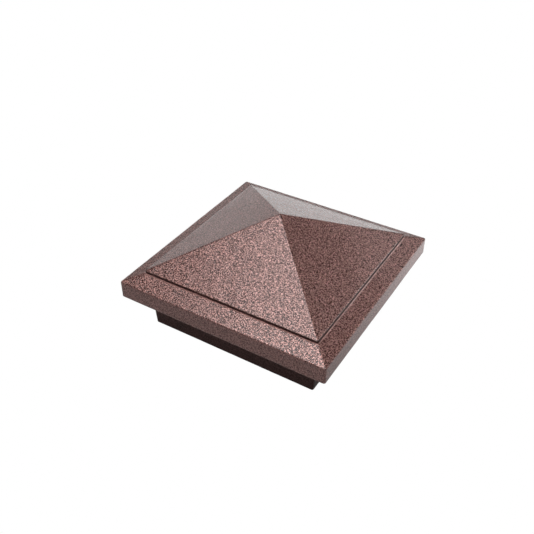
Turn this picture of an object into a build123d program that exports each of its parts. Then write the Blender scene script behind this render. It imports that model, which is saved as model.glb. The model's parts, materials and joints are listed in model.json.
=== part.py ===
# Pyramid cap for a nominal 4x4 fence post: one aluminium die casting, held on the post by two
# self-tapping screws with bonded sealing washers. Millimetres, +Z up. The origin is the centre of
# the socket's mouth, on the lower edge of the skirt. The screws go in through the +X and -X sides.
from build123d import *
import os
from math import atan, cos, tan

os.makedirs("parts", exist_ok=True)

# Driving dimensions of the casting
post_width = 88.9
brim_width = 118.0
fascia_height = 9.5
brim_rise = 3.3
step_width = 99.6
step_height = 1.45
crown_rise = 28.4
skirt_depth = 20.7
skirt_top_width = 97.1
skirt_mouth_width = 95.4
socket_mouth_width = 91.8
socket_top_width = 91.2
crown_wall = 2.5
fascia_wall = 2.8
brim_wall = 2.6
tip_width = 0.9

# Edge radii of the casting
corner_radius = 1.0
tip_radius = 0.4
step_edge_radius = 1.0
step_foot_radius = 0.5
brim_edge_radius = 0.6
skirt_edge_radius = 0.5
socket_corner_radius = 2.0

# Ribs of the casting
seat_depth = 30.0
rib_thickness = 3.0
rib_depth = 5.0
seat_length = 13.0
web_thickness = 2.0
web_place = 25.0
web_setback = 1.0
overlap = 1.0  # how far ribs, webs and cuts run into what they meet
level_tolerance = 0.01

# Fixing screws, ST4.2 x 9.5 with a pan head, and their bonded washers
screw_drop = 4.6
screw_length = 9.5
thread_radius = 2.1
core_radius = 1.5
thread_pitch = 1.4
point_length = 2.6
head_radius = 4.0
head_height = 2.4
head_rim = 0.7
dome_radius = 2.5  # the head's dome is this wide at dome_level above the head's seat
dome_level = 1.9
recess_span = 4.4
recess_width = 0.95
recess_depth = 1.5
plate_radius = 6.0
plate_thickness = 0.6
seal_radius = 5.7
seal_thickness = 0.8
washer_bore_radius = 2.2
head_gap = 0.05
drive_gap = 3.85
pad_radius = 6.5
pad_face = 48.9
screw_hole_radius = 2.35

# Heights that follow from them
brim_underside = skirt_depth
brim_edge = brim_underside + fascia_height
step_foot = brim_edge + brim_rise
step_top = step_foot + step_height
crown_tip = brim_edge + crown_rise
channel_roof = brim_edge - brim_wall
screw_height = brim_underside - screw_drop

# The crown's slope, and the roof inside it, a wall's thickness below
crown_slope = atan((crown_tip - step_top) / ((step_width - tip_width) / 2))
roof_below_crown = crown_wall / cos(crown_slope)


def crown_surface(distance):
    """Height of the crown's face at a distance from the centre line, square to a side."""
    return crown_tip - (distance - tip_width / 2) * tan(crown_slope)


roof_foot = crown_surface(socket_top_width / 2) - roof_below_crown
roof_tip = crown_tip - roof_below_crown

# Places along the +X screw, measured from the centre line
seal_face = pad_face + drive_gap
plate_face = seal_face + seal_thickness
under_head = plate_face + plate_thickness + head_gap
right_screw_axis = Axis((0, 0, screw_height), (1, 0, 0))

with BuildPart() as cap_casting:
    # The upright fascia round the brim
    with BuildSketch(Plane.XY.offset(brim_underside)):
        RectangleRounded(brim_width, brim_width, corner_radius)
    extrude(amount=fascia_height)

    # The brim's gentle slope up to the foot of the step
    with BuildSketch(Plane.XY.offset(brim_edge)):
        RectangleRounded(brim_width, brim_width, corner_radius)
    with BuildSketch(Plane.XY.offset(step_foot)):
        RectangleRounded(step_width, step_width, corner_radius)
    loft()

    # The low upright step
    with BuildSketch(Plane.XY.offset(step_foot)):
        RectangleRounded(step_width, step_width, corner_radius)
    extrude(amount=step_height)

    # The pyramid crown
    with BuildSketch(Plane.XY.offset(step_top)):
        RectangleRounded(step_width, step_width, corner_radius)
    with BuildSketch(Plane.XY.offset(crown_tip)):
        RectangleRounded(tip_width, tip_width, tip_radius)
    loft()

    # The skirt, which draws in towards its mouth
    with BuildSketch(Plane.XY):
        RectangleRounded(skirt_mouth_width, skirt_mouth_width, corner_radius)
    with BuildSketch(Plane.XY.offset(brim_underside)):
        RectangleRounded(skirt_top_width, skirt_top_width, corner_radius)
    loft()

    # Softened cast edges: step, step foot, top and bottom of the fascia, and the skirt's mouth
    fillet(cap_casting.edges().group_by(Axis.Z)[0], skirt_edge_radius)
    for height, radius in (
        (step_top, step_edge_radius),
        (step_foot, step_foot_radius),
        (brim_edge, brim_edge_radius),
    ):
        ring = cap_casting.edges().filter_by_position(
            Axis.Z, height - level_tolerance, height + level_tolerance
        )
        fillet(ring, radius)
    underside = cap_casting.edges().filter_by_position(
        Axis.Z, brim_underside - level_tolerance, brim_underside + level_tolerance
    )
    outer_underside = [
        edge
        for edge in underside
        if max(abs(edge.center().X), abs(edge.center().Y)) > (brim_width + skirt_top_width) / 4
    ]
    fillet(outer_underside, brim_edge_radius)

    # Channel cored out under the brim, between the fascia and the skirt
    with BuildSketch(Plane.XY.offset(brim_underside)):
        fascia_inside = brim_width - 2 * fascia_wall
        RectangleRounded(fascia_inside, fascia_inside, corner_radius)
        RectangleRounded(skirt_top_width, skirt_top_width, corner_radius, mode=Mode.SUBTRACT)
    extrude(amount=channel_roof - brim_underside, mode=Mode.SUBTRACT)

    # Webs across the channel, two to a side
    web_length = (fascia_inside - skirt_top_width) / 2 + 2 * overlap
    web_middle = (fascia_inside + skirt_top_width) / 4
    with BuildSketch(Plane.XY.offset(brim_underside + web_setback)):
        for place in (-web_place, web_place):
            with Locations((web_middle, place), (-web_middle, place)):
                Rectangle(web_length, web_thickness)
            with Locations((place, web_middle), (place, -web_middle)):
                Rectangle(web_thickness, web_length)
    extrude(amount=channel_roof - brim_underside)

    # Flat pads on the skirt that the screws' washers seat on
    for side in (-1, 1):
        with BuildSketch(Plane.YZ.offset(side * skirt_mouth_width / 2)):
            with Locations((0, screw_height)):
                Circle(pad_radius)
        extrude(amount=side * (pad_face - skirt_mouth_width / 2))

    # The socket for the post, with draft towards its mouth
    with BuildSketch(Plane.XY):
        RectangleRounded(socket_mouth_width, socket_mouth_width, socket_corner_radius)
    with BuildSketch(Plane.XY.offset(roof_foot)):
        RectangleRounded(socket_top_width, socket_top_width, socket_corner_radius)
    loft(mode=Mode.SUBTRACT)

    # The hollow under the crown
    with BuildSketch(Plane.XY.offset(roof_foot)):
        RectangleRounded(socket_top_width, socket_top_width, socket_corner_radius)
    with BuildSketch(Plane.XY.offset(roof_tip)):
        RectangleRounded(tip_width, tip_width, tip_radius)
    loft(mode=Mode.SUBTRACT)

    # Two crossed ribs under the crown. Their level ends are the stops the post's top rests on.
    mid_wall = roof_below_crown / 2
    rib_end = socket_top_width / 2 + overlap
    seat_end = socket_top_width / 2 - seat_length
    rib_outline = [
        (rib_end, seat_depth),
        (seat_end, seat_depth),
        (seat_end, crown_surface(seat_end) - roof_below_crown - rib_depth),
        (0, crown_tip - roof_below_crown - rib_depth),
        (0, crown_tip - mid_wall),
        (rib_end, crown_surface(rib_end) - mid_wall),
    ]
    for plane in (Plane.XZ, Plane.YZ):
        with BuildSketch(plane):
            with BuildLine():
                Polyline(*rib_outline, close=True)
            make_face()
            mirror(about=Plane.YZ)
        extrude(amount=rib_thickness / 2, both=True)

    # Clearance holes for the two screws
    for side in (-1, 1):
        with BuildSketch(Plane.YZ.offset(side * post_width / 2)):
            with Locations((0, screw_height)):
                Circle(screw_hole_radius)
        extrude(amount=side * 2 * (pad_face - post_width / 2), mode=Mode.SUBTRACT)
cap_casting.part.label = "cap_casting"
export_step(cap_casting.part, "parts/cap_casting.step")

with BuildPart() as screw_right:
    # Half of the screw's outline, from its point to the top of its head, spun about its axis
    thread_turns = int((screw_length - point_length) / thread_pitch)
    thread_end = -thread_turns * thread_pitch
    outline = [(-screw_length, 0)]
    for turn in range(thread_turns, 0, -1):
        start = -turn * thread_pitch
        outline += [(start, core_radius), (start + thread_pitch / 2, thread_radius)]
    outline += [(0, core_radius), (0, head_radius), (head_rim, head_radius)]
    with BuildSketch(Plane(origin=(under_head, 0, screw_height), x_dir=(1, 0, 0), z_dir=(0, -1, 0))):
        with BuildLine():
            Polyline(*outline)
            ThreePointArc(
                (head_rim, head_radius),
                (dome_level, dome_radius),
                (head_height, 0),
            )
            Line((head_height, 0), (-screw_length, 0))
        make_face()
    revolve(axis=right_screw_axis)

    # Cross recess for the driver
    with BuildSketch(Plane.YZ.offset(under_head + head_height - recess_depth)):
        with Locations((0, screw_height)):
            Rectangle(recess_span, recess_width)
            Rectangle(recess_width, recess_span)
    extrude(amount=recess_depth + overlap, mode=Mode.SUBTRACT)
screw_right.part.label = "screw_right"
export_step(screw_right.part, "parts/screw_right.step")

with BuildPart() as washer_plate_right:
    # Stainless face of the bonded washer
    with BuildSketch(Plane.YZ.offset(plate_face)):
        with Locations((0, screw_height)):
            Circle(plate_radius)
            Circle(washer_bore_radius, mode=Mode.SUBTRACT)
    extrude(amount=plate_thickness)
washer_plate_right.part.label = "washer_plate_right"
export_step(washer_plate_right.part, "parts/washer_plate_right.step")

with BuildPart() as washer_seal_right:
    # Rubber face of the bonded washer
    with BuildSketch(Plane.YZ.offset(seal_face)):
        with Locations((0, screw_height)):
            Circle(seal_radius)
            Circle(washer_bore_radius, mode=Mode.SUBTRACT)
    extrude(amount=seal_thickness)
washer_seal_right.part.label = "washer_seal_right"
export_step(washer_seal_right.part, "parts/washer_seal_right.step")

# The left screw and washer are the right ones turned half round the post's centre line
with BuildPart() as screw_left:
    add(screw_right.part.rotate(Axis.Z, 180))
screw_left.part.label = "screw_left"
export_step(screw_left.part, "parts/screw_left.step")

with BuildPart() as washer_plate_left:
    add(washer_plate_right.part.rotate(Axis.Z, 180))
washer_plate_left.part.label = "washer_plate_left"
export_step(washer_plate_left.part, "parts/washer_plate_left.step")

with BuildPart() as washer_seal_left:
    add(washer_seal_right.part.rotate(Axis.Z, 180))
washer_seal_left.part.label = "washer_seal_left"
export_step(washer_seal_left.part, "parts/washer_seal_left.step")
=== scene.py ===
import json
import math

import bmesh
import bpy
import numpy as np
from mathutils import Matrix, Vector, noise


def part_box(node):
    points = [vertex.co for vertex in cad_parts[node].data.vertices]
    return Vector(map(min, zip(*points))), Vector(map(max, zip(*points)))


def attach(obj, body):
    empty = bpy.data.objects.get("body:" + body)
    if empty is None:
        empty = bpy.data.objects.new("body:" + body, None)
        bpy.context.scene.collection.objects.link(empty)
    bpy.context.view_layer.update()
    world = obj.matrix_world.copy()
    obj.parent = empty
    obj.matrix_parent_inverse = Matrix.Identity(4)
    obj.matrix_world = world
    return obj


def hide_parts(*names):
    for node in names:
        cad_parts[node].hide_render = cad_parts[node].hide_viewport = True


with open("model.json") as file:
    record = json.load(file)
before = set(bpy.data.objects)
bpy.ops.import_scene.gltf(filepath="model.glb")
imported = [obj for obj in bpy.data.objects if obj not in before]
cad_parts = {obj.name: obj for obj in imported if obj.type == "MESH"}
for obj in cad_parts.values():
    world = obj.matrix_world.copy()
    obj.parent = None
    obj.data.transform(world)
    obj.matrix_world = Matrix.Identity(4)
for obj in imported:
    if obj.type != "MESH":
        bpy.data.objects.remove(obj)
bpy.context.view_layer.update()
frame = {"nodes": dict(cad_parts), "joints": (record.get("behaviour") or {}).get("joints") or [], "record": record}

# Lengths in this script are in millimetres unless they say otherwise. Blender and the frame use metres.
MM = 0.001


# Sizes, from the frame and named

def in_mm(metres):
    """A length from the frame in millimetres, to the nearest micrometre."""
    return round(metres / MM, 3)


def entry(entries, value, key="name"):
    """The one of a list of entries whose name, or other key, has this value."""
    return next(item for item in entries if item[key] == value)


record = frame["record"]
cap_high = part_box("cap_casting")[1]
post_seat = entry(record["mounts"], "post_seat")["pos_m"]
head_seat = entry(frame["joints"], "right_turn")["pos_m"]
radians_per_metre = entry(record["behaviour"]["couplings"], "right_turn", key="joint")["ratio"]

HALF_BRIM_METRES = cap_high.x
BRIM_HALF = in_mm(cap_high.x)
TIP_LEVEL = in_mm(cap_high.z)
SEAT_LEVEL = in_mm(post_seat[2])
UNDER_HEAD = in_mm(head_seat[0])
SCREW_LEVEL = in_mm(head_seat[2])
SCREW_LENGTH = in_mm(head_seat[0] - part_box("screw_right")[0].x)
THREAD_PITCH = in_mm(2 * math.pi / radians_per_metre)

# The casting's outline, as the CAD casting has it: half-widths square to a side, and levels above the
# skirt's mouth, where the row's origin is
TIP_HALF = 0.45
STEP_HALF = 49.8
FASCIA_INSIDE_HALF = 56.2
SKIRT_TOP_HALF = 48.55
SKIRT_MOUTH_HALF = 47.7
SOCKET_TOP_HALF = 45.6
SOCKET_MOUTH_HALF = 45.9
STEP_TOP_LEVEL = 34.95
STEP_FOOT_LEVEL = 33.5
BRIM_EDGE_LEVEL = 30.2
CHANNEL_ROOF_LEVEL = 27.6
UNDERSIDE_LEVEL = 20.7
MOUTH_LEVEL = 0
WALL_BELOW_CROWN = 2.77
CROWN_SLOPE = (TIP_LEVEL - STEP_TOP_LEVEL) / (STEP_HALF - TIP_HALF)
ROOF_FOOT_LEVEL = TIP_LEVEL - (SOCKET_TOP_HALF - TIP_HALF) * CROWN_SLOPE - WALL_BELOW_CROWN

# Radii of the outline's corners. The step's top edge is tighter than the CAD casting's and its foot is
# wider, and the edges that the CAD casting leaves sharp are rounded here. The outline starts on the tip's
# flat top, at a share of its half-width.
TIP_START = 0.3
TIP_ROUND = 0.25
STEP_TOP_ROUND = 0.3
STEP_FOOT_ROUND = 0.8
BRIM_ROUND = 0.6
FASCIA_INSIDE_ROUND = 0.3
CASTING_FILLET = 0.6
MOUTH_OUTER_ROUND = 0.5
MOUTH_INNER_ROUND = 0.2

# Radii of the upright corners between two sides, outside and inside, which ease to the tip's
OUTSIDE_CORNER = 1.0
INSIDE_CORNER = 1.6
TIP_CORNER = 0.4

# What is added to the swept casting, and cut from it
RIB_THICKNESS = 3.0
RIB_DEPTH = 5.0
SEAT_LENGTH = 13.0
WEB_THICKNESS = 2.0
WEB_PLACE = 25.0
PAD_FACE = 48.9
PAD_RADIUS = 6.5
SCREW_HOLE_RADIUS = 2.35
OVERLAP = 1.0
CUT_MARGIN = 2.0

# The fixing screws. The edges of the head are (height, inset from the head's radius) points.
POINT_LENGTH = 2.6
POINT_RADIUS = 0.12
THREAD_RADIUS = 2.1
CORE_RADIUS = 1.5
HEAD_RADIUS = 4.0
HEAD_HEIGHT = 2.4
HEAD_RIM = 0.7
HEAD_LOWER_EDGE = [(0, 0.15), (0.05, 0.04), (0.15, 0)]
HEAD_UPPER_EDGE = [(HEAD_RIM - 0.12, 0), (HEAD_RIM - 0.02, 0.03)]
DOME_INSET = 0.08
RECESS_SPAN = 4.4
RECESS_WIDTH = 0.95
RECESS_DEPTH = 1.5
RECESS_CLEARANCE = 0.5

# Half the base of the thread's ridge and the run-out under the head, as shares of the pitch, and the
# width of the recess's floor, as a share of its mouth's
THREAD_SHARE = 0.26
THREAD_RUN_OUT = 0.5
RECESS_DRAW = 0.55

# Fineness of the meshes: row spacings, counts of columns and rows, and degrees of a fillet in one step
ROW_SPACING = 1.0
HIDDEN_ROW_SPACING = 12.0
FILLET_STEP = 15
FILLET_LEAST_STEPS = 3
COLUMNS_PER_SIDE = 118
COLUMNS_PER_CORNER = 6
ROUND_STEPS = 48
SCREW_COLUMNS = 48
SCREW_ROWS = 110
DOME_ROWS = 16

# Relief of the sprayed coat over the casting
WAVE_SIZE = 3.4
WAVE_HEIGHT = 0.035
SWELL_SIZE = 14.0
SWELL_HEIGHT = 0.05

# Edges that turn by more than these angles, in degrees, are shaded sharp, or bevelled on the washers
CASTING_SHARP_ANGLE = 38
SCREW_SHARP_ANGLE = 35
WASHER_EDGE_ANGLE = 40

# Widths of the washers' bevels, and how near each other their points are to be made one
PLATE_EDGE = 0.10
SEAL_EDGE = 0.12
WELD_DISTANCE = 0.001


# Mesh helpers

def mesh_object(name, points, faces):
    """A new smooth-shaded object."""
    mesh = bpy.data.meshes.new(name)
    mesh.from_pydata((np.asarray(points) * MM).tolist(), [], faces)
    mesh.polygons.foreach_set("use_smooth", [True] * len(mesh.polygons))
    mesh.update()
    made = bpy.data.objects.new(name, mesh)
    bpy.context.scene.collection.objects.link(made)
    return made


def prism(name, outline, thickness, place):
    """A solid of the given thickness on an outline of (across, up) points, centred on its plane.

    place turns the corner (across, along the thickness, up) into a point of the row frame."""
    count = len(outline)
    points = [place(u, side * thickness / 2, v) for side in (-1, 1) for u, v in outline]
    faces = [list(range(count)), list(range(2 * count - 1, count - 1, -1))]
    for i in range(count):
        j = (i + 1) % count
        faces.append([i, i + count, j + count, j])
    made = mesh_object(name, points, faces)
    work = bmesh.new()
    work.from_mesh(made.data)
    bmesh.ops.recalc_face_normals(work, faces=work.faces)
    work.to_mesh(made.data)
    work.free()
    return made


def circle_outline(radius, level):
    turns = [2 * math.pi * i / ROUND_STEPS for i in range(ROUND_STEPS)]
    return [(radius * math.cos(t), level + radius * math.sin(t)) for t in turns]


def joined(objects):
    """The first object with the others' meshes added to it."""
    work = bmesh.new()
    for piece in objects:
        work.from_mesh(piece.data)
    work.to_mesh(objects[0].data)
    work.free()
    for piece in objects[1:]:
        bpy.data.objects.remove(piece)
    return objects[0]


def cut_or_add(target, tool, operation):
    """Adds the tool to the target, or cuts it away, and removes the tool."""
    step = target.modifiers.new("step", "BOOLEAN")
    step.operation = operation
    step.solver = "MANIFOLD"
    step.object = tool
    graph = bpy.context.evaluated_depsgraph_get()
    result = bpy.data.meshes.new_from_object(target.evaluated_get(graph), depsgraph=graph)
    target.modifiers.clear()
    target.data = result
    bpy.data.objects.remove(tool)


def tube_quads(rows, around):
    """Corners of each quad between neighbouring rings: low, low next, high next, high."""
    for i in range(rows - 1):
        low, high = i * around, (i + 1) * around
        for j in range(around):
            k = (j + 1) % around
            yield low + j, low + k, high + k, high + j


def shade(piece, sharp_angle):
    """Smooth shading, but for edges that turn by more than the angle."""
    piece.data.polygons.foreach_set("use_smooth", [True] * len(piece.data.polygons))
    piece.data.set_sharp_from_angle(angle=math.radians(sharp_angle))


def stand_for(piece, node, body):
    """Shows the piece in place of a CAD node, on the node's body."""
    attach(piece, body)
    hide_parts(node)


# Node helpers. An input is given by its name or number, and takes a value or another node's output.

def set_inputs(tree, node, inputs):
    for key, value in inputs.items():
        if isinstance(value, bpy.types.NodeSocket):
            tree.links.new(value, node.inputs[key])
        else:
            node.inputs[key].default_value = value


def add_node(tree, kind, inputs=None, **settings):
    made = tree.nodes.new("ShaderNode" + kind)
    for name, value in settings.items():
        setattr(made, name, value)
    set_inputs(tree, made, inputs or {})
    return made


def math_node(tree, operation, *values, clamp=False):
    return add_node(tree, "Math", dict(enumerate(values)), operation=operation, use_clamp=clamp).outputs[0]


def towards(tree, amount, share):
    """1 where the amount is 0, and the share where it is 1."""
    return math_node(tree, "MULTIPLY_ADD", amount, share - 1, 1.0)


def noise_node(tree, scale, detail=1.0, distortion=0.0):
    """A noise pattern in the piece's own place, with its scale per millimetre."""
    place = add_node(tree, "TexCoord")
    texture = add_node(tree, "TexNoise", {
        "Vector": place.outputs["Object"],
        "Scale": scale / MM,
        "Detail": detail,
        "Distortion": distortion,
    })
    return texture.outputs["Fac"]


def tint_node(tree, value, dark, light, start=0.3, end=0.7):
    """A colour that goes from dark to light as the value goes from start to end."""
    ramp = add_node(tree, "ValToRGB", {"Fac": value})
    for element, place, colour in zip(ramp.color_ramp.elements, (start, end), (dark, light)):
        element.position = place
        element.color = (*colour, 1)
    return ramp.outputs["Color"]


def bump_node(tree, pattern, strength, height):
    """Normals of a surface on which the pattern stands out by the height."""
    bump = add_node(tree, "Bump", {"Height": pattern, "Strength": strength, "Distance": height * MM})
    return bump.outputs["Normal"]


def place_output(tree, axis):
    """A point's place along an axis of the row frame, in metres."""
    place = add_node(tree, "TexCoord")
    return add_node(tree, "SeparateXYZ", {0: place.outputs["Object"]}).outputs[axis]


def new_material(name):
    """A new material, its node tree and the tree's main shader."""
    material = bpy.data.materials.new(name)
    material.use_nodes = True
    return material, material.node_tree, material.node_tree.nodes["Principled BSDF"]


# The copper-vein coat: winding copper ridges on a dark brown ground, under a clear film

# Scales are per millimetre. A vein is where its noise passes the middle, more steeply with more contrast.
VEIN_SCALE = 1.8
VEIN_DETAIL = 1.5
VEIN_DISTORTION = 0.3
VEIN_MIDDLE = 0.49
VEIN_CONTRAST = 6.3
VEIN_HEIGHT = 0.12
COPPER_SCALE = 1.1
GROUND_SCALE = 0.09
GRAIN_SCALE = 3.0
FINE_DETAIL = 2.0
GROUND_DARK = (0.038, 0.0095, 0.0078)
GROUND_LIGHT = (0.056, 0.0150, 0.0120)
COPPER_DARK = (0.46, 0.232, 0.205)
COPPER_LIGHT = (0.86, 0.450, 0.400)
COAT_METALLIC = 0.6
COAT_SPECULAR = 0.2
COAT_ROUGHNESS = 0.30
COAT_ROUGHNESS_SPAN = 0.10

# The skirt and the step's short wall keep this share of their veins, which paints them darker: painted shade under
# the brim and in the step. The fascia's veins are blurred to this share of their contrast.
PAINTED_SHADE_VEINS = 0.14
FASCIA_CONTRAST = 0.55

# The film has these shares of its full weight between the veins and on the skirt, where the smaller share is
# painted shade under the brim. Between the veins it rises to its full weight as a surface turns away from the eye,
# from the start value of how far it faces away to the end value. The relief is the share of the veins' relief that
# the film's surface follows.
GAP_FILM = 0.8
SKIRT_SHADE_FILM = 0.3
GRAZING_START = 0.35
GRAZING_END = 0.65
FILM_ROUGHNESS = 0.10
FILM_RELIEF = 0.2
FILM_IOR = 1.6

# Bands of the coat end this far from the outline's levels, and blend over these lengths
STEP_FOOT_ABOVE = 0.2
STEP_FOOT_BELOW = 0.15
STEP_TOP_ABOVE = 0.1
FASCIA_TOP_BELOW = 0.2
MOUTH_BELOW = 1.0
STEP_BLEND = 0.1
FASCIA_BLEND = 0.3
SKIRT_BLEND = 0.5


def band_node(tree, level, low, high, blend):
    """1 between two levels and 0 beyond them. The level comes in metres."""
    steep = 1 / (blend * MM)
    rise = math_node(tree, "MULTIPLY_ADD", level, steep, 0.5 - low / blend, clamp=True)
    fall = math_node(tree, "MULTIPLY_ADD", level, -steep, 0.5 + high / blend, clamp=True)
    return math_node(tree, "MULTIPLY", rise, fall)


def upright_bands(tree):
    """Four values, 1 on the skirt, the step's short wall, its foot and the fascia, and 0 elsewhere. The skirt's
    and the wall's values paint shade, and the foot's paints a highlight.
    """
    level = place_output(tree, "Z")
    foot_low, foot_high = STEP_FOOT_LEVEL - STEP_FOOT_BELOW, STEP_FOOT_LEVEL + STEP_FOOT_ABOVE
    # Painted shade: the skirt, under the brim, is darkened as if in shadow.
    skirt = band_node(tree, level, MOUTH_LEVEL - MOUTH_BELOW, UNDERSIDE_LEVEL, SKIRT_BLEND)
    # Painted shade: the step's short wall is darkened as if in shadow.
    step = band_node(tree, level, foot_high, STEP_TOP_LEVEL + STEP_TOP_ABOVE, STEP_BLEND)
    # Painted highlight: a bright copper line along the step's rounded foot.
    foot = band_node(tree, level, foot_low, foot_high, STEP_BLEND)
    fascia = band_node(tree, level, UNDERSIDE_LEVEL, BRIM_EDGE_LEVEL - FASCIA_TOP_BELOW, FASCIA_BLEND)
    return skirt, step, foot, fascia


def veins_node(tree, skirt, step, foot, fascia):
    """How much copper there is: 1 on a vein and 0 on the ground, with painted shade on the skirt and the step's
    short wall, and a painted highlight all along the step's foot.
    """
    pattern = noise_node(tree, VEIN_SCALE, VEIN_DETAIL, VEIN_DISTORTION)
    away = math_node(tree, "SUBTRACT", pattern, VEIN_MIDDLE)
    veins = math_node(tree, "MULTIPLY_ADD", away, VEIN_CONTRAST, 0.5, clamp=True)
    away = math_node(tree, "SUBTRACT", veins, 0.5)
    veins = math_node(tree, "MULTIPLY_ADD", away, towards(tree, fascia, FASCIA_CONTRAST), 0.5)
    # Painted shade: the skirt and the step's short wall lose most of their veins, which darkens them.
    painted_shade = math_node(tree, "MAXIMUM", skirt, step)
    veins = math_node(tree, "MULTIPLY", veins, towards(tree, painted_shade, PAINTED_SHADE_VEINS))
    # Painted highlight: full copper all along the step's foot, a bright line where light would catch it.
    return math_node(tree, "MAXIMUM", veins, foot)


def film_node(tree, veins, skirt):
    """Weight of the clear film."""
    film = math_node(tree, "MULTIPLY_ADD", veins, 1 - GAP_FILM, GAP_FILM)
    away = add_node(tree, "LayerWeight").outputs["Facing"]
    grazing = add_node(tree, "MapRange", {"Value": away, "From Min": GRAZING_START, "From Max": GRAZING_END})
    film = math_node(tree, "MAXIMUM", film, grazing.outputs["Result"])
    # Painted shade: the skirt keeps a smaller share of the film, so it reflects less, as if in shadow.
    return math_node(tree, "MULTIPLY", film, towards(tree, skirt, SKIRT_SHADE_FILM))


def coat_material():
    material, tree, shader = new_material("copper_vein_coat")
    # The bands carry painted shade on the skirt and the step's short wall, and a painted highlight along the
    # step's foot, into the colour, the relief and the film.
    skirt, step, foot, fascia = upright_bands(tree)
    veins = veins_node(tree, skirt, step, foot, fascia)
    ground = tint_node(tree, noise_node(tree, GROUND_SCALE, FINE_DETAIL), GROUND_DARK, GROUND_LIGHT)
    copper = tint_node(tree, noise_node(tree, COPPER_SCALE), COPPER_DARK, COPPER_LIGHT)
    colour = add_node(tree, "Mix", {"Factor": veins, "A": ground, "B": copper}, data_type="RGBA")
    grains = noise_node(tree, GRAIN_SCALE, FINE_DETAIL)
    set_inputs(tree, shader, {
        "Base Color": colour.outputs["Result"],
        "Metallic": COAT_METALLIC,
        "Specular IOR Level": COAT_SPECULAR,
        "Roughness": math_node(tree, "MULTIPLY_ADD", grains, COAT_ROUGHNESS_SPAN, COAT_ROUGHNESS),
        "Normal": bump_node(tree, veins, 1.0, VEIN_HEIGHT),
        "Coat Weight": film_node(tree, veins, skirt),
        "Coat Roughness": FILM_ROUGHNESS,
        "Coat IOR": FILM_IOR,
        "Coat Normal": bump_node(tree, veins, FILM_RELIEF, VEIN_HEIGHT),
    })
    return material


# The plainer materials

GRAIN_ROUGHNESS_SPAN = 0.2
STEEL_MARK_SHADE = 0.86


def grained_material(name, scale, detail, dark, light, metallic, roughness, relief, height, patches=None):
    """A surface whose colour, roughness and height follow one fine grain.

    With a scale of patches, the colour follows wider patches instead."""
    material, tree, shader = new_material(name)
    grains = noise_node(tree, scale, detail)
    tones = noise_node(tree, patches, detail) if patches else grains
    set_inputs(tree, shader, {
        "Base Color": tint_node(tree, tones, dark, light),
        "Metallic": metallic,
        "Roughness": math_node(tree, "MULTIPLY_ADD", grains, GRAIN_ROUGHNESS_SPAN, roughness),
        "Normal": bump_node(tree, grains, relief, height),
    })
    return material


def inner_coat_material():
    """The thin, smoother coat that reaches the inside."""
    return grained_material(
        "inner_coat", scale=1.6, detail=2.0, patches=0.08,
        dark=(0.120, 0.062, 0.054), light=(0.215, 0.130, 0.116),
        metallic=0.3, roughness=0.42, relief=0.6, height=0.06,
    )


def steel_material(name, colour, scale):
    """Stainless steel with fine marks from rolling or turning."""
    return grained_material(
        name, scale=scale, detail=3.0,
        dark=[STEEL_MARK_SHADE * channel for channel in colour], light=colour,
        metallic=1.0, roughness=0.18, relief=0.3, height=0.02,
    )


def rubber_material():
    return grained_material(
        "seal_rubber", scale=4.0, detail=3.0,
        dark=(0.012, 0.012, 0.012), light=(0.028, 0.027, 0.026),
        metallic=0.0, roughness=0.55, relief=0.4, height=0.03,
    )


# The casting

# Its two material slots: the full coat, and the thin one that reaches the inside
OUTSIDE, INSIDE = 0, 1


def rounded_path(corners):
    """Points along a chain of (distance, level, radius, visible) corners, rounded where they have a radius.

    Each point is (distance, level, visible), where visible is about the stretch that starts there."""
    path = []
    for i, (x, z, radius, visible) in enumerate(corners):
        if radius == 0:
            path.append((x, z, visible))
            continue
        here = Vector((x, z))
        before = (Vector(corners[i - 1][:2]) - here).normalized()
        after = (Vector(corners[i + 1][:2]) - here).normalized()
        half = before.angle(after) / 2
        reach = radius / math.tan(half)
        centre = here + (before + after).normalized() * radius / math.sin(half)
        start, end = here + before * reach - centre, here + after * reach - centre
        turn = start.angle_signed(end)
        steps = max(FILLET_LEAST_STEPS, round(abs(turn) / math.radians(FILLET_STEP)))
        for k in range(steps + 1):
            a = -turn * k / steps
            arm = Vector((
                start.x * math.cos(a) - start.y * math.sin(a),
                start.x * math.sin(a) + start.y * math.cos(a),
            ))
            path.append((centre.x + arm.x, centre.y + arm.y, visible))
    return path


def filled_path(path):
    """The path with points added along its long stretches."""
    filled = []
    for (x0, z0, visible), (x1, z1, _) in zip(path, path[1:]):
        length = math.hypot(x1 - x0, z1 - z0)
        steps = max(1, math.ceil(length / (ROW_SPACING if visible else HIDDEN_ROW_SPACING)))
        for k in range(steps):
            share = k / steps
            filled.append((x0 + (x1 - x0) * share, z0 + (z1 - z0) * share, visible))
    return filled + [path[-1]]


def square_ring(half, radius, level):
    """Points round a square with rounded corners, the same number for every ring."""
    radius = min(radius, half)
    flat = half - radius
    ring = []
    for side in range(4):
        turned = side * math.pi / 2
        cosine, sine = math.cos(turned), math.sin(turned)
        arm = []
        for k in range(COLUMNS_PER_SIDE):
            arm.append((half, -flat + 2 * flat * k / COLUMNS_PER_SIDE))
        for k in range(COLUMNS_PER_CORNER):
            a = math.pi / 2 * k / COLUMNS_PER_CORNER
            arm.append((flat + radius * math.cos(a), flat + radius * math.sin(a)))
        ring += [(x * cosine - y * sine, x * sine + y * cosine, level) for x, y in arm]
    return ring


def corner_radius(distance, outside):
    """Radius of the casting's upright corners, easing off along the crown's ridges."""
    full = OUTSIDE_CORNER if outside else INSIDE_CORNER
    return min(full, TIP_CORNER + (full - TIP_CORNER) * distance / STEP_HALF)


def coat_wave(point):
    """Height of the coat's soft orange peel over the casting."""
    p = Vector(point)
    return WAVE_HEIGHT * noise.noise(p / WAVE_SIZE) + SWELL_HEIGHT * noise.noise(p / SWELL_SIZE)


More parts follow.
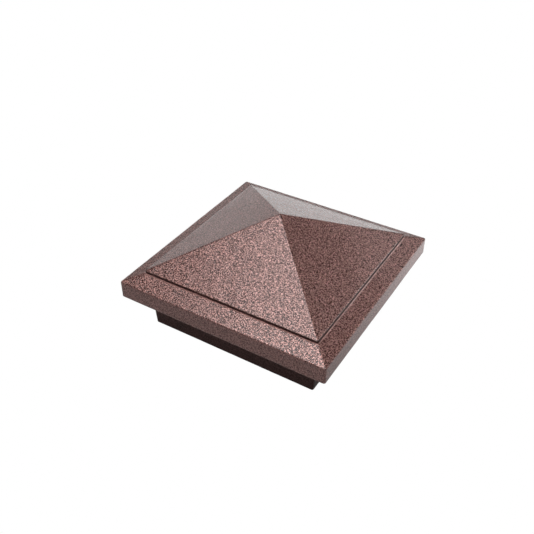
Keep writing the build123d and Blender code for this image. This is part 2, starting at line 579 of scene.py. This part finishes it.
def raise_coat(casting, kinds):
    """Moves the visible side's points along their normals by the coat's height."""
    mesh = casting.data
    coated = np.ones(len(mesh.vertices), bool)
    for polygon, kind in zip(mesh.polygons, kinds):
        if kind == INSIDE:
            coated[list(polygon.vertices)] = False
    points = np.zeros(len(mesh.vertices) * 3)
    mesh.vertices.foreach_get("co", points)
    points = points.reshape(-1, 3) / MM
    normals = np.array([n.vector for n in mesh.vertex_normals])
    for i in np.flatnonzero(coated):
        points[i] += normals[i] * coat_wave(points[i])
    mesh.vertices.foreach_set("co", (points * MM).ravel())
    mesh.update()


def swept_casting():
    """The casting without ribs, webs, pads and holes: one outline swept round the square."""
    corners = [
        (TIP_HALF * TIP_START, TIP_LEVEL, 0, True),
        (TIP_HALF, TIP_LEVEL, TIP_ROUND, True),
        (STEP_HALF, STEP_TOP_LEVEL, STEP_TOP_ROUND, True),
        (STEP_HALF, STEP_FOOT_LEVEL, STEP_FOOT_ROUND, True),
        (BRIM_HALF, BRIM_EDGE_LEVEL, BRIM_ROUND, True),
        (BRIM_HALF, UNDERSIDE_LEVEL, BRIM_ROUND, True),
        (FASCIA_INSIDE_HALF, UNDERSIDE_LEVEL, FASCIA_INSIDE_ROUND, False),
        (FASCIA_INSIDE_HALF, CHANNEL_ROOF_LEVEL, CASTING_FILLET, False),
        (SKIRT_TOP_HALF, CHANNEL_ROOF_LEVEL, CASTING_FILLET, False),
        (SKIRT_TOP_HALF, UNDERSIDE_LEVEL, 0, True),
        (SKIRT_MOUTH_HALF, MOUTH_LEVEL, MOUTH_OUTER_ROUND, True),
        (SOCKET_MOUTH_HALF, MOUTH_LEVEL, MOUTH_INNER_ROUND, False),
        (SOCKET_TOP_HALF, ROOF_FOOT_LEVEL, CASTING_FILLET, False),
        (TIP_HALF, TIP_LEVEL - WALL_BELOW_CROWN, 0, False),
    ]
    path = filled_path(rounded_path(corners))
    rows = [square_ring(x, corner_radius(x, visible), z) for x, z, visible in path]
    around = len(rows[0])
    points = [p for row in rows for p in row]
    faces = [(a, d, c, b) for a, b, c, d in tube_quads(len(rows), around)]
    kinds = [OUTSIDE if visible else INSIDE for _, _, visible in path[:-1] for _ in range(around)]
    faces.append(list(range(around)))
    faces.append(list(range(len(points) - 1, len(points) - 1 - around, -1)))
    kinds += [OUTSIDE, INSIDE]
    casting = mesh_object("cap_casting_coated", points, faces)
    casting.data.polygons.foreach_set("material_index", kinds)
    raise_coat(casting, kinds)
    return casting


def along_x(across, through, up):
    return (across, through, up)


def along_y(across, through, up):
    return (-through, across, up)


def crown_level(distance):
    """Level of the crown's outside at a distance from the centre line."""
    return TIP_LEVEL - (distance - TIP_HALF) * CROWN_SLOPE


def build_rib(place, name):
    """One rib under the crown, from side to side. Its level ends are stops for the post's top."""
    middle = WALL_BELOW_CROWN / 2
    rib_end = SOCKET_TOP_HALF + OVERLAP
    seat_end = SOCKET_TOP_HALF - SEAT_LENGTH
    half = [
        (rib_end, crown_level(rib_end) - middle),
        (rib_end, SEAT_LEVEL),
        (seat_end, SEAT_LEVEL),
        (seat_end, crown_level(seat_end) - WALL_BELOW_CROWN - RIB_DEPTH),
        (0, TIP_LEVEL - WALL_BELOW_CROWN - RIB_DEPTH),
    ]
    outline = half + [(-u, v) for u, v in reversed(half[:-1])] + [(0, TIP_LEVEL - middle)]
    return prism(name, outline, RIB_THICKNESS, place)


def build_webs():
    """Short webs across the channel under the brim, two to a side."""
    near, far = SKIRT_TOP_HALF - OVERLAP, FASCIA_INSIDE_HALF + OVERLAP
    low, high = UNDERSIDE_LEVEL + OVERLAP, CHANNEL_ROOF_LEVEL + OVERLAP
    webs = []
    for place in (along_x, along_y):
        for sign in (-1, 1):
            for shift in (-WEB_PLACE, WEB_PLACE):
                outline = [(sign * near, low), (sign * far, low), (sign * far, high), (sign * near, high)]
                spot = (lambda u, t, v, place=place, shift=shift: place(u, t + shift, v))
                webs.append(prism("web", outline, WEB_THICKNESS, spot))
    return joined(webs)


def build_rounds(name, radius, inner, outer):
    """A round bar on each screw's line, from one distance to another."""
    middle, length = (inner + outer) / 2, outer - inner
    bars = []
    for sign in (-1, 1):
        spot = (lambda u, t, v, sign=sign: (sign * (middle + t), u, v))
        bars.append(prism(name, circle_outline(radius, SCREW_LEVEL), length, spot))
    return joined(bars)


def build_casting():
    casting = swept_casting()
    casting.data.materials.append(coat_material())
    casting.data.materials.append(inner_coat_material())
    pads = build_rounds("pads", PAD_RADIUS, SKIRT_MOUTH_HALF - OVERLAP, PAD_FACE)
    holes = build_rounds("holes", SCREW_HOLE_RADIUS, SOCKET_TOP_HALF - CUT_MARGIN, PAD_FACE + CUT_MARGIN)
    tools = [
        (build_rib(along_x, "rib_x"), "UNION", INSIDE),
        (build_rib(along_y, "rib_y"), "UNION", INSIDE),
        (build_webs(), "UNION", INSIDE),
        (pads, "UNION", OUTSIDE),
        (holes, "DIFFERENCE", OUTSIDE),
    ]
    for tool, operation, kind in tools:
        for material in casting.data.materials:
            tool.data.materials.append(material)
        tool.data.polygons.foreach_set("material_index", [kind] * len(tool.data.polygons))
        cut_or_add(casting, tool, operation)
    shade(casting, CASTING_SHARP_ANGLE)
    stand_for(casting, "cap_casting", "cap")


# The fixings: threaded screws, and the CAD washers with softened edges

SCREW_STEEL = (0.62, 0.61, 0.59)
SCREW_MARK_SCALE = 2.5
WASHER_STEEL = (0.66, 0.65, 0.63)
WASHER_MARK_SCALE = 1.5


def shank_radius(along, turn):
    """Radius of the shank, its thread and its point, at a share of a turn round the axis."""
    phase = (along / THREAD_PITCH - turn) % 1
    run_out = min(1, -along / (THREAD_RUN_OUT * THREAD_PITCH))
    crest = max(0, 1 - abs(phase - 0.5) / THREAD_SHARE) * run_out
    full = CORE_RADIUS + (THREAD_RADIUS - CORE_RADIUS) * crest
    taper = min(1, (along + SCREW_LENGTH) / POINT_LENGTH)
    return POINT_RADIUS + (full - POINT_RADIUS) * taper


def head_outline():
    """The head from its seat up, as (height, radius) points: an upright rim and a domed top."""
    outline = [(height, HEAD_RADIUS - inset) for height, inset in HEAD_LOWER_EDGE + HEAD_UPPER_EDGE]
    rise = HEAD_HEIGHT - HEAD_RIM
    dome_radius = (HEAD_RADIUS ** 2 + rise ** 2) / (2 * rise)
    for k in range(1, DOME_ROWS):
        radius = (HEAD_RADIUS - DOME_INSET) * (1 - k / DOME_ROWS)
        outline.append((HEAD_HEIGHT - dome_radius + math.sqrt(dome_radius ** 2 - radius ** 2), radius))
    return outline


def screw_surface():
    """Points and faces of the screw along +X from its head's seat, before its recess is cut."""
    turns = [k / SCREW_COLUMNS for k in range(SCREW_COLUMNS)]
    rings = []
    for row in range(SCREW_ROWS + 1):
        along = -SCREW_LENGTH + SCREW_LENGTH * row / SCREW_ROWS
        rings.append((along, [shank_radius(along, turn) for turn in turns]))
    for height, radius in head_outline():
        rings.append((height, [radius] * SCREW_COLUMNS))
    points = []
    for along, radii in rings:
        for turn, radius in zip(turns, radii):
            angle = 2 * math.pi * turn
            points.append((along, radius * math.cos(angle), radius * math.sin(angle)))
    faces = [list(range(SCREW_COLUMNS - 1, -1, -1))]
    faces += tube_quads(len(rings), SCREW_COLUMNS)
    faces.append(list(range(len(points) - SCREW_COLUMNS, len(points))))
    return points, faces


def recess_tool():
    """Points and faces of a cross that draws in as it goes down into the head."""
    long, thin = RECESS_SPAN / 2, RECESS_WIDTH / 2
    arm = [(thin, -thin), (long, -thin), (long, thin)]
    outline = []
    for c, s in ((1, 0), (0, 1), (-1, 0), (0, -1)):
        outline += [(x * c - y * s, x * s + y * c) for x, y in arm]
    top, floor = HEAD_HEIGHT + RECESS_CLEARANCE, HEAD_HEIGHT - RECESS_DEPTH
    points = [(floor, y * RECESS_DRAW, z * RECESS_DRAW) for y, z in outline]
    points += [(top, y, z) for y, z in outline]
    count = len(outline)
    faces = [list(range(count - 1, -1, -1)), list(range(count, 2 * count))]
    faces += [[i, (i + 1) % count, (i + 1) % count + count, i + count] for i in range(count)]
    return points, faces


def build_screw(side, material):
    screw = mesh_object("screw_" + side + "_threaded", *screw_surface())
    tool = mesh_object("recess", *recess_tool())
    screw.data.materials.append(material)
    tool.data.materials.append(material)
    cut_or_add(screw, tool, "DIFFERENCE")
    shade(screw, SCREW_SHARP_ANGLE)
    screw.data.transform(Matrix.Translation((UNDER_HEAD * MM, 0, SCREW_LEVEL * MM)))
    if side == "left":
        screw.data.transform(Matrix.Rotation(math.pi, 4, "Z"))
    stand_for(screw, "screw_" + side, side + "_screw")


def finish_cad_node(node, material, edge):
    """Gives a carried-over CAD node its material and small rounded edges."""
    piece = frame["nodes"][node]
    piece.data.materials.clear()
    piece.data.materials.append(material)
    weld = piece.modifiers.new("weld", "WELD")
    weld.merge_threshold = WELD_DISTANCE * MM
    bevel = piece.modifiers.new("edge", "BEVEL")
    bevel.width = edge * MM
    bevel.segments = 2
    bevel.limit_method = "ANGLE"
    bevel.angle_limit = math.radians(WASHER_EDGE_ANGLE)
    bevel.harden_normals = True


def build_fixings():
    screw_steel = steel_material("screw_steel", SCREW_STEEL, SCREW_MARK_SCALE)
    washer_steel = steel_material("washer_steel", WASHER_STEEL, WASHER_MARK_SCALE)
    seal_rubber = rubber_material()
    for side in ("right", "left"):
        build_screw(side, screw_steel)
        finish_cad_node("washer_plate_" + side, washer_steel, PLATE_EDGE)
        finish_cad_node("washer_seal_" + side, seal_rubber, SEAL_EDGE)


# Floor and light

# The camera sees the floor white. As a surface that lights the cap it is darker in front of the cap,
# and paler behind, up to a distance given in half brims.
FLOOR_REACH = 280.0
FLOOR_GAP = 0.05
FLOOR_FRONT = (0.28, 0.28, 0.28)
FLOOR_BACK = (0.95, 0.95, 0.95)
FLOOR_FAR = 2.6
FLOOR_ROUGHNESS = 0.9
FLOOR_GLOW = 0.36
SOCKET_LIGHT_GAP = 0.04
SOCKET_GLOW = 1.2

# The studio's soft panels: azimuth, elevation and half-width in degrees, and strength. The base is the
# strength of the light from elsewhere, and the core is the share of a panel that has its full strength.
STUDIO_BASE = 0.08
PANEL_CORE = 0.6
STUDIO_PANELS = [
    (-79, 84, 27, 2.9),  # overhead, for the lit front face
    (146, 27, 8, 6.0),  # behind on the right, for the rounded edges
    (-133, -5, 14, 0.3),  # low behind on the left, for the far left face
    (14, 46, 24, 0.9),  # in front, for the fascia and for views from behind
]

# A small light near the far right corner. It aims at a place in half brims and a level, from a
# direction in degrees. Its power is in watts.
SIDE_LIGHT_AIM = (0.7, 0.8)
SIDE_LIGHT_LEVEL = 35.0
SIDE_LIGHT_DIRECTION = (161, 36)
SIDE_LIGHT_DISTANCE = 170.0
SIDE_LIGHT_SIZE = (140.0, 60.0)
SIDE_LIGHT_POWER = 0.012


def direction(azimuth, elevation):
    """Unit vector towards a place in the studio; azimuth 0 is towards -Y, and 90 is towards +X."""
    a, e = math.radians(azimuth), math.radians(elevation)
    return Vector((math.sin(a) * math.cos(e), -math.cos(a) * math.cos(e), math.sin(e)))


def stage_sheet(name, half, level, material):
    """A level square sheet, facing up, that isn't part of the cap."""
    corners = [(-half, -half, level), (half, -half, level), (half, half, level), (-half, half, level)]
    sheet = mesh_object(name, corners, [(0, 1, 2, 3)])
    sheet.data.materials.append(material)


def show_from_front(tree, shader):
    """Shows a shader on the front of a sheet, and nothing on its back."""
    back = add_node(tree, "NewGeometry").outputs["Backfacing"]
    clear = add_node(tree, "BsdfTransparent").outputs[0]
    sides = add_node(tree, "MixShader", {"Fac": back, 1: shader, 2: clear})
    set_inputs(tree, tree.nodes["Material Output"], {"Surface": sides.outputs[0]})


def seen_by_camera(tree, lighting, seen):
    """A shader that looks one way to the camera and lights the scene another way."""
    camera = add_node(tree, "LightPath").outputs["Is Camera Ray"]
    return add_node(tree, "MixShader", {"Fac": camera, 1: lighting, 2: seen}).outputs[0]


def white_floor():
    material, tree, shader = new_material("floor_white")
    back = add_node(tree, "MapRange", {
        "Value": place_output(tree, "Y"),
        "From Min": -HALF_BRIM_METRES,
        "From Max": FLOOR_FAR * HALF_BRIM_METRES,
    })
    tint = tint_node(tree, back.outputs["Result"], FLOOR_FRONT, FLOOR_BACK, start=0, end=1)
    set_inputs(tree, shader, {
        "Base Color": tint,
        "Roughness": FLOOR_ROUGHNESS,
        "Emission Color": tint,
        "Emission Strength": FLOOR_GLOW,
    })
    white = add_node(tree, "Emission").outputs[0]
    show_from_front(tree, seen_by_camera(tree, shader.outputs[0], white))
    stage_sheet("floor", FLOOR_REACH, -FLOOR_GAP, material)


def socket_light():
    """A sheet of soft light just above the floor that only the inside of the socket can see."""
    material, tree, _ = new_material("socket_light")
    show_from_front(tree, add_node(tree, "Emission", {"Strength": SOCKET_GLOW}).outputs[0])
    stage_sheet("socket_light", SOCKET_MOUTH_HALF, -SOCKET_LIGHT_GAP, material)


def studio_world():
    """Pale surroundings: white for the camera, and soft panels of light for the surfaces to reflect."""
    world = bpy.data.worlds.new("studio")
    bpy.context.scene.world = world
    world.use_nodes = True
    tree = world.node_tree
    tree.nodes.clear()
    place = add_node(tree, "TexCoord").outputs["Generated"]
    total = STUDIO_BASE
    for azimuth, elevation, spread, strength in STUDIO_PANELS:
        panel = {0: place, 1: direction(azimuth, elevation)}
        facing = add_node(tree, "VectorMath", panel, operation="DOT_PRODUCT").outputs["Value"]
        soft = add_node(tree, "MapRange", {
            "Value": facing,
            "From Min": math.cos(math.radians(spread)),
            "From Max": math.cos(math.radians(spread * PANEL_CORE)),
        }, interpolation_type="SMOOTHSTEP")
        total = math_node(tree, "MULTIPLY_ADD", soft.outputs["Result"], strength, total)
    white = (1, 1, 1, 1)
    lit = add_node(tree, "Background", {"Color": white, "Strength": total}).outputs[0]
    seen = add_node(tree, "Background", {"Color": white}).outputs[0]
    add_node(tree, "OutputWorld", {"Surface": seen_by_camera(tree, lit, seen)})


def side_light():
    """A small soft light close to the far right corner, so that the right face pales towards it."""
    data = bpy.data.lights.new("side_light", "AREA")
    data.shape = "RECTANGLE"
    data.size, data.size_y = (length * MM for length in SIDE_LIGHT_SIZE)
    data.energy = SIDE_LIGHT_POWER
    light = bpy.data.objects.new("side_light", data)
    across, back = (share * HALF_BRIM_METRES for share in SIDE_LIGHT_AIM)
    away = direction(*SIDE_LIGHT_DIRECTION)
    light.location = Vector((across, back, SIDE_LIGHT_LEVEL * MM)) + away * SIDE_LIGHT_DISTANCE * MM
    light.rotation_mode = "QUATERNION"
    light.rotation_quaternion = away.to_track_quat("Z", "Y")
    light.visible_camera = False
    bpy.context.scene.collection.objects.link(light)


# Camera, as in the product view: directions in degrees, and lengths in half brims. The lens and the
# sensor are in millimetres, and the clip distances in metres.
CAMERA_AZIMUTH = 31.62
CAMERA_ELEVATION = 37.35
CAMERA_DISTANCE = 6.294
CAMERA_AIM_LEVEL = 0.5126
CAMERA_SHIFT_RIGHT = -0.1097
CAMERA_SHIFT_UP = -0.0708
CAMERA_LENS = 47.26
CAMERA_SENSOR = 36.0
CAMERA_CLIP = (0.01, 20)


def product_camera():
    data = bpy.data.cameras.new("camera")
    data.lens = CAMERA_LENS
    data.sensor_width = CAMERA_SENSOR
    data.clip_start, data.clip_end = CAMERA_CLIP
    camera = bpy.data.objects.new("camera", data)
    back = direction(CAMERA_AZIMUTH, CAMERA_ELEVATION)
    right = direction(CAMERA_AZIMUTH + 90, 0)
    up = back.cross(right)
    aim = Vector((0, 0, CAMERA_AIM_LEVEL)) + CAMERA_SHIFT_RIGHT * right + CAMERA_SHIFT_UP * up
    camera.location = (aim + back * CAMERA_DISTANCE) * HALF_BRIM_METRES
    camera.rotation_mode = "QUATERNION"
    camera.rotation_quaternion = Matrix((right, up, back)).transposed().to_quaternion()
    bpy.context.scene.collection.objects.link(camera)
    bpy.context.scene.camera = camera


build_casting()
build_fixings()
white_floor()
socket_light()
studio_world()
side_light()
product_camera()
bpy.context.scene.view_settings.view_transform = "Standard"
